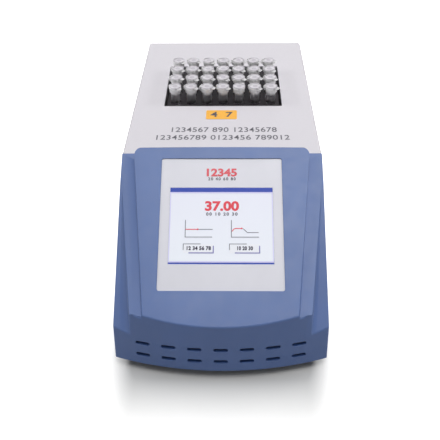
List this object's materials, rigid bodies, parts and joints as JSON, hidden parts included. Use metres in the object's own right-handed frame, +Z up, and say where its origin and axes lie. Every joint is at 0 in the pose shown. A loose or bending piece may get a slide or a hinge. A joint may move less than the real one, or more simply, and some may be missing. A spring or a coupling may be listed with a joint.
{
  "type": "dry bath incubator",
  "caption": "Bench-top dry bath with a sloped touch display, a pale sheet cover and a lift-out heating block that holds capped microtubes.",
  "frame": {"origin": "on the bench, under the middle of the bounding box", "axes": "+Z up; +Y from the touch display to the back wall with the mains inlet; +X to the right of someone who faces the display"},
  "size_m": [0.1486, 0.336, 0.1185],
  "materials": {
    "cover": "fine powder coat, pale grey",
    "bezel": "moulded blue plastic, satin",
    "galvanised": "plain folded sheet",
    "screws": "zinc plated",
    "feet": "dull black rubber",
    "block": "black anodised",
    "plate": "machined",
    "heater": "silicone sheet",
    "insulation": "pressed fibre",
    "phenolic": "phenolic",
    "overlay": "printed film, pale grey",
    "screen": "touch glass over a lit display",
    "module": "blackened frame",
    "boards": "green laminate",
    "winding": "varnished laminations",
    "contacts": "nickel plated",
    "fixture": "black nylon",
    "fuse": "glass tube fuses",
    "tube": "natural polypropylene, cloudy"
  },
  "bodies": {
    "housing": {"base_pan": "galvanised", "base_screws": "screws", "board_screws": "screws", "clamp_plate": "galvanised", "control_board": "boards", "display_module": "module", "flat_head_screws": "screws", "front_bezel": "bezel", "heater_mat": "heater", "heater_plate": "plate", "hex_nuts": "screws", "inlet_pins": "contacts", "inlet_socket": "fixture", "insulation_jacket": "insulation", "insulation_pad": "insulation", "insulation_tray": "galvanised", "panel_overlay": "overlay", "plate_posts": "galvanised", "power_board": "boards", "rear_cover": "cover", "rubber_feet": "feet", "spacers": "screws", "switch_frame": "fixture", "temperature_probe": "screws", "thermal_cutout": "phenolic", "touch_glass": "screen", "transformer": "winding", "well_liner": "galvanised"},
    "block": {"heating_block": "block"},
    "rocker": {"switch_rocker": "fixture"},
    "drawer": {"fuse_drawer": "fixture", "fuses": "fuse"},
    "tube_a1": {"tube_a1": "tube"},
    "tube_a2": {"tube_a2": "tube"},
    "tube_a3": {"tube_a3": "tube"},
    "tube_a4": {"tube_a4": "tube"},
    "tube_a5": {"tube_a5": "tube"},
    "tube_a6": {"tube_a6": "tube"},
    "tube_a7": {"tube_a7": "tube"},
    "tube_b1": {"tube_b1": "tube"},
    "tube_b2": {"tube_b2": "tube"},
    "tube_b3": {"tube_b3": "tube"},
    "tube_b4": {"tube_b4": "tube"},
    "tube_b5": {"tube_b5": "tube"},
    "tube_b6": {"tube_b6": "tube"},
    "tube_b7": {"tube_b7": "tube"},
    "tube_c1": {"tube_c1": "tube"},
    "tube_c2": {"tube_c2": "tube"},
    "tube_c3": {"tube_c3": "tube"},
    "tube_c4": {"tube_c4": "tube"},
    "tube_c5": {"tube_c5": "tube"},
    "tube_c6": {"tube_c6": "tube"},
    "tube_c7": {"tube_c7": "tube"},
    "tube_d1": {"tube_d1": "tube"},
    "tube_d2": {"tube_d2": "tube"},
    "tube_d3": {"tube_d3": "tube"},
    "tube_d4": {"tube_d4": "tube"},
    "tube_d5": {"tube_d5": "tube"},
    "tube_d6": {"tube_d6": "tube"},
    "tube_d7": {"tube_d7": "tube"}
  },
  "joints": [
    {"name": "block_lift", "type": "slide", "parent": "housing", "child": "block", "axis": [0, 0, 1], "range_m": [0, 0.06]},
    {"name": "rocker_tilt", "type": "hinge", "parent": "housing", "child": "rocker", "pos_m": [0.034, 0.163, 0.037], "axis": [1, 0, 0], "range_deg": [-20, 0]},
    {"name": "drawer_slide", "type": "slide", "parent": "housing", "child": "drawer", "axis": [0, 1, 0], "range_m": [0, 0.018]},
    {"name": "tube_a1_lift", "type": "slide", "parent": "block", "child": "tube_a1", "axis": [0, 0, 1], "range_m": [0, 0.03]},
    {"name": "tube_a2_lift", "type": "slide", "parent": "block", "child": "tube_a2", "axis": [0, 0, 1], "range_m": [0, 0.03]},
    {"name": "tube_a3_lift", "type": "slide", "parent": "block", "child": "tube_a3", "axis": [0, 0, 1], "range_m": [0, 0.03]},
    {"name": "tube_a4_lift", "type": "slide", "parent": "block", "child": "tube_a4", "axis": [0, 0, 1], "range_m": [0, 0.03]},
    {"name": "tube_a5_lift", "type": "slide", "parent": "block", "child": "tube_a5", "axis": [0, 0, 1], "range_m": [0, 0.03]},
    {"name": "tube_a6_lift", "type": "slide", "parent": "block", "child": "tube_a6", "axis": [0, 0, 1], "range_m": [0, 0.03]},
    {"name": "tube_a7_lift", "type": "slide", "parent": "block", "child": "tube_a7", "axis": [0, 0, 1], "range_m": [0, 0.03]},
    {"name": "tube_b1_lift", "type": "slide", "parent": "block", "child": "tube_b1", "axis": [0, 0, 1], "range_m": [0, 0.03]},
    {"name": "tube_b2_lift", "type": "slide", "parent": "block", "child": "tube_b2", "axis": [0, 0, 1], "range_m": [0, 0.03]},
    {"name": "tube_b3_lift", "type": "slide", "parent": "block", "child": "tube_b3", "axis": [0, 0, 1], "range_m": [0, 0.03]},
    {"name": "tube_b4_lift", "type": "slide", "parent": "block", "child": "tube_b4", "axis": [0, 0, 1], "range_m": [0, 0.03]},
    {"name": "tube_b5_lift", "type": "slide", "parent": "block", "child": "tube_b5", "axis": [0, 0, 1], "range_m": [0, 0.03]},
    {"name": "tube_b6_lift", "type": "slide", "parent": "block", "child": "tube_b6", "axis": [0, 0, 1], "range_m": [0, 0.03]},
    {"name": "tube_b7_lift", "type": "slide", "parent": "block", "child": "tube_b7", "axis": [0, 0, 1], "range_m": [0, 0.03]},
    {"name": "tube_c1_lift", "type": "slide", "parent": "block", "child": "tube_c1", "axis": [0, 0, 1], "range_m": [0, 0.03]},
    {"name": "tube_c2_lift", "type": "slide", "parent": "block", "child": "tube_c2", "axis": [0, 0, 1], "range_m": [0, 0.03]},
    {"name": "tube_c3_lift", "type": "slide", "parent": "block", "child": "tube_c3", "axis": [0, 0, 1], "range_m": [0, 0.03]},
    {"name": "tube_c4_lift", "type": "slide", "parent": "block", "child": "tube_c4", "axis": [0, 0, 1], "range_m": [0, 0.03]},
    {"name": "tube_c5_lift", "type": "slide", "parent": "block", "child": "tube_c5", "axis": [0, 0, 1], "range_m": [0, 0.03]},
    {"name": "tube_c6_lift", "type": "slide", "parent": "block", "child": "tube_c6", "axis": [0, 0, 1], "range_m": [0, 0.03]},
    {"name": "tube_c7_lift", "type": "slide", "parent": "block", "child": "tube_c7", "axis": [0, 0, 1], "range_m": [0, 0.03]},
    {"name": "tube_d1_lift", "type": "slide", "parent": "block", "child": "tube_d1", "axis": [0, 0, 1], "range_m": [0, 0.03]},
    {"name": "tube_d2_lift", "type": "slide", "parent": "block", "child": "tube_d2", "axis": [0, 0, 1], "range_m": [0, 0.03]},
    {"name": "tube_d3_lift", "type": "slide", "parent": "block", "child": "tube_d3", "axis": [0, 0, 1], "range_m": [0, 0.03]},
    {"name": "tube_d4_lift", "type": "slide", "parent": "block", "child": "tube_d4", "axis": [0, 0, 1], "range_m": [0, 0.03]},
    {"name": "tube_d5_lift", "type": "slide", "parent": "block", "child": "tube_d5", "axis": [0, 0, 1], "range_m": [0, 0.03]},
    {"name": "tube_d6_lift", "type": "slide", "parent": "block", "child": "tube_d6", "axis": [0, 0, 1], "range_m": [0, 0.03]},
    {"name": "tube_d7_lift", "type": "slide", "parent": "block", "child": "tube_d7", "axis": [0, 0, 1], "range_m": [0, 0.03]}
  ]
}
